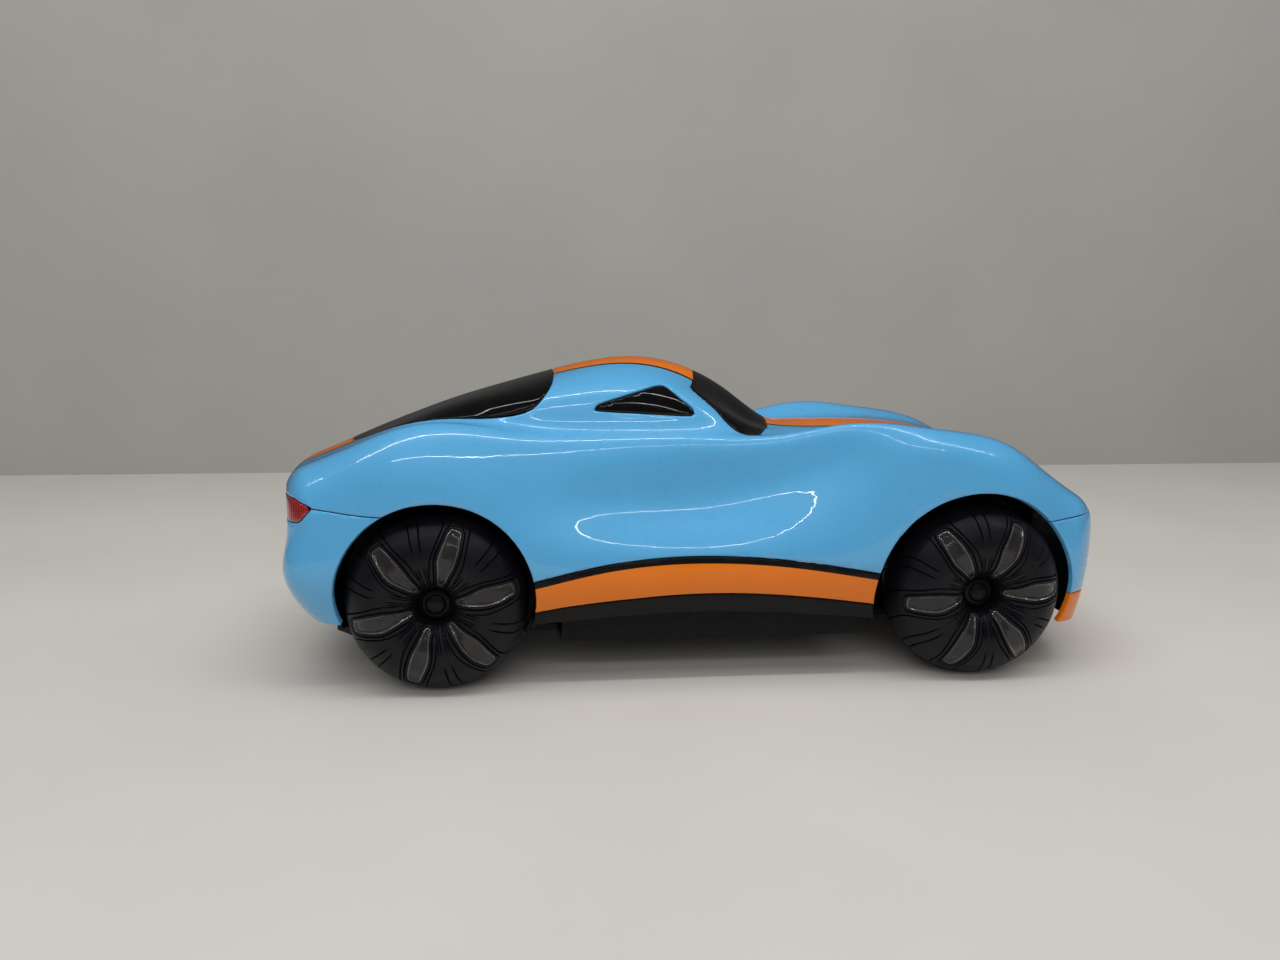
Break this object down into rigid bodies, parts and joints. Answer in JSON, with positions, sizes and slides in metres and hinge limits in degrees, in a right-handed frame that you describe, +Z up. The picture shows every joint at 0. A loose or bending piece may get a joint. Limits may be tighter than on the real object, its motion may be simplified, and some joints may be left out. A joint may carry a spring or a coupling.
{
  "type": "toy robot car",
  "caption": "Glossy coupe-shaped toy robot car with domed light-up wheels, servo-steered front wheels and a geared rear drive.",
  "frame": {"origin": "on the floor, under the middle of the car's bounding box", "axes": "+X to the nose, +Y to the car's left, +Z up"},
  "size_m": [0.38, 0.152, 0.1409],
  "materials": {
    "blue_shell": "high gloss sky blue",
    "black_gloss": "high gloss black",
    "red_lens": "clear red lens",
    "clear_lens": "clear lens over a pale reflector",
    "orange_trim": "high gloss orange",
    "black_plastic": "satin black",
    "steel": "plain steel",
    "brass": "turned brass",
    "gear_white": "moulded natural nylon",
    "board_green": "circuit board with green solder mask",
    "servo_black": "satin black case",
    "battery_blue": "blue shrink sleeve",
    "tyre": "matte black rubber",
    "smoke_lens": "smoke grey light pipe"
  },
  "bodies": {
    "car_frame": {"body_shell": "blue_shell", "rear_bumper": "blue_shell", "front_bumper": "blue_shell", "windshield": "black_gloss", "rear_glass": "black_gloss", "side_window_left": "black_gloss", "side_window_right": "black_gloss", "front_grille": "black_gloss", "tail_lamp_left": "red_lens", "tail_lamp_right": "red_lens", "headlamp_left": "clear_lens", "headlamp_right": "clear_lens", "front_lip": "orange_trim", "sill_panel_left": "orange_trim", "sill_panel_right": "orange_trim", "rear_diffuser": "black_plastic", "side_skirt_left": "black_plastic", "side_skirt_right": "black_plastic", "gearbox_case": "black_plastic", "front_beam": "black_plastic", "chassis": "black_plastic", "battery_cover": "black_plastic", "idler_pin": "steel", "drive_motor": "steel", "kingpin_left": "steel", "kingpin_right": "steel", "charge_socket": "steel", "cover_screw_rear": "steel", "cover_screw_front": "steel", "axle_bush_left": "brass", "axle_bush_right": "brass", "control_board": "board_green", "steering_servo": "servo_black", "battery_pack": "battery_blue"},
    "rear_axle": {"rear_axle": "steel", "axle_gear": "gear_white", "tyre_rear_left": "tyre", "light_ring_rear_left": "smoke_lens", "hub_rear_left": "black_plastic", "hub_cap_rear_left": "black_gloss", "tyre_rear_right": "tyre", "light_ring_rear_right": "smoke_lens", "hub_rear_right": "black_plastic", "hub_cap_rear_right": "black_gloss"},
    "idler": {"compound_gear": "gear_white"},
    "pinion": {"motor_pinion": "brass"},
    "knuckle_left": {"knuckle_left": "black_plastic"},
    "knuckle_right": {"knuckle_right": "black_plastic"},
    "wheel_front_left": {"tyre_front_left": "tyre", "light_ring_front_left": "smoke_lens", "hub_front_left": "black_plastic", "hub_cap_front_left": "black_gloss"},
    "wheel_front_right": {"tyre_front_right": "tyre", "light_ring_front_right": "smoke_lens", "hub_front_right": "black_plastic", "hub_cap_front_right": "black_gloss"},
    "tie_rod": {"tie_rod": "black_plastic"},
    "servo_horn": {"servo_horn": "gear_white"},
    "power_button": {"power_button": "orange_trim"}
  },
  "joints": [
    {"name": "rear_axle_spin", "type": "hinge", "parent": "car_frame", "child": "rear_axle", "pos_m": [-0.119, 0, 0.039], "axis": [0, 1, 0], "continuous": true},
    {"name": "idler_spin", "type": "hinge", "parent": "car_frame", "child": "idler", "pos_m": [-0.09585, 0, 0.039], "axis": [0, 1, 0], "continuous": true},
    {"name": "pinion_spin", "type": "hinge", "parent": "car_frame", "child": "pinion", "pos_m": [-0.0757, 0, 0.039], "axis": [0, 1, 0], "continuous": true},
    {"name": "steer_left", "type": "hinge", "parent": "car_frame", "child": "knuckle_left", "pos_m": [0.119, 0.052, 0.039], "axis": [0, 0, 1], "range_deg": [-25, 25]},
    {"name": "steer_right", "type": "hinge", "parent": "car_frame", "child": "knuckle_right", "pos_m": [0.119, -0.052, 0.039], "axis": [0, 0, 1], "range_deg": [-25, 25]},
    {"name": "horn_turn", "type": "hinge", "parent": "car_frame", "child": "servo_horn", "pos_m": [0.119, 0, 0.047], "axis": [0, 0, 1], "range_deg": [-25, 25]},
    {"name": "tie_rod_pivot", "type": "hinge", "parent": "knuckle_left", "child": "tie_rod", "pos_m": [0.103, 0.052, 0.0515], "axis": [0, 0, 1], "range_deg": [-25, 25]},
    {"name": "front_left_spin", "type": "hinge", "parent": "knuckle_left", "child": "wheel_front_left", "pos_m": [0.119, 0.06, 0.039], "axis": [0, 1, 0], "continuous": true},
    {"name": "front_right_spin", "type": "hinge", "parent": "knuckle_right", "child": "wheel_front_right", "pos_m": [0.119, -0.06, 0.039], "axis": [0, 1, 0], "continuous": true},
    {"name": "power_button_press", "type": "slide", "parent": "car_frame", "child": "power_button", "axis": [0, 0, 1], "range_m": [0, 0.0015], "stiffness_N_per_m": 300, "springref_m": -0.001}
  ],
  "couplings": [
    {"joint": "idler_spin", "follows": "rear_axle_spin", "ratio": -2.8333},
    {"joint": "pinion_spin", "follows": "rear_axle_spin", "ratio": 8.5},
    {"joint": "steer_right", "follows": "steer_left", "ratio": 1},
    {"joint": "horn_turn", "follows": "steer_left", "ratio": 1},
    {"joint": "tie_rod_pivot", "follows": "steer_left", "ratio": -1}
  ]
}
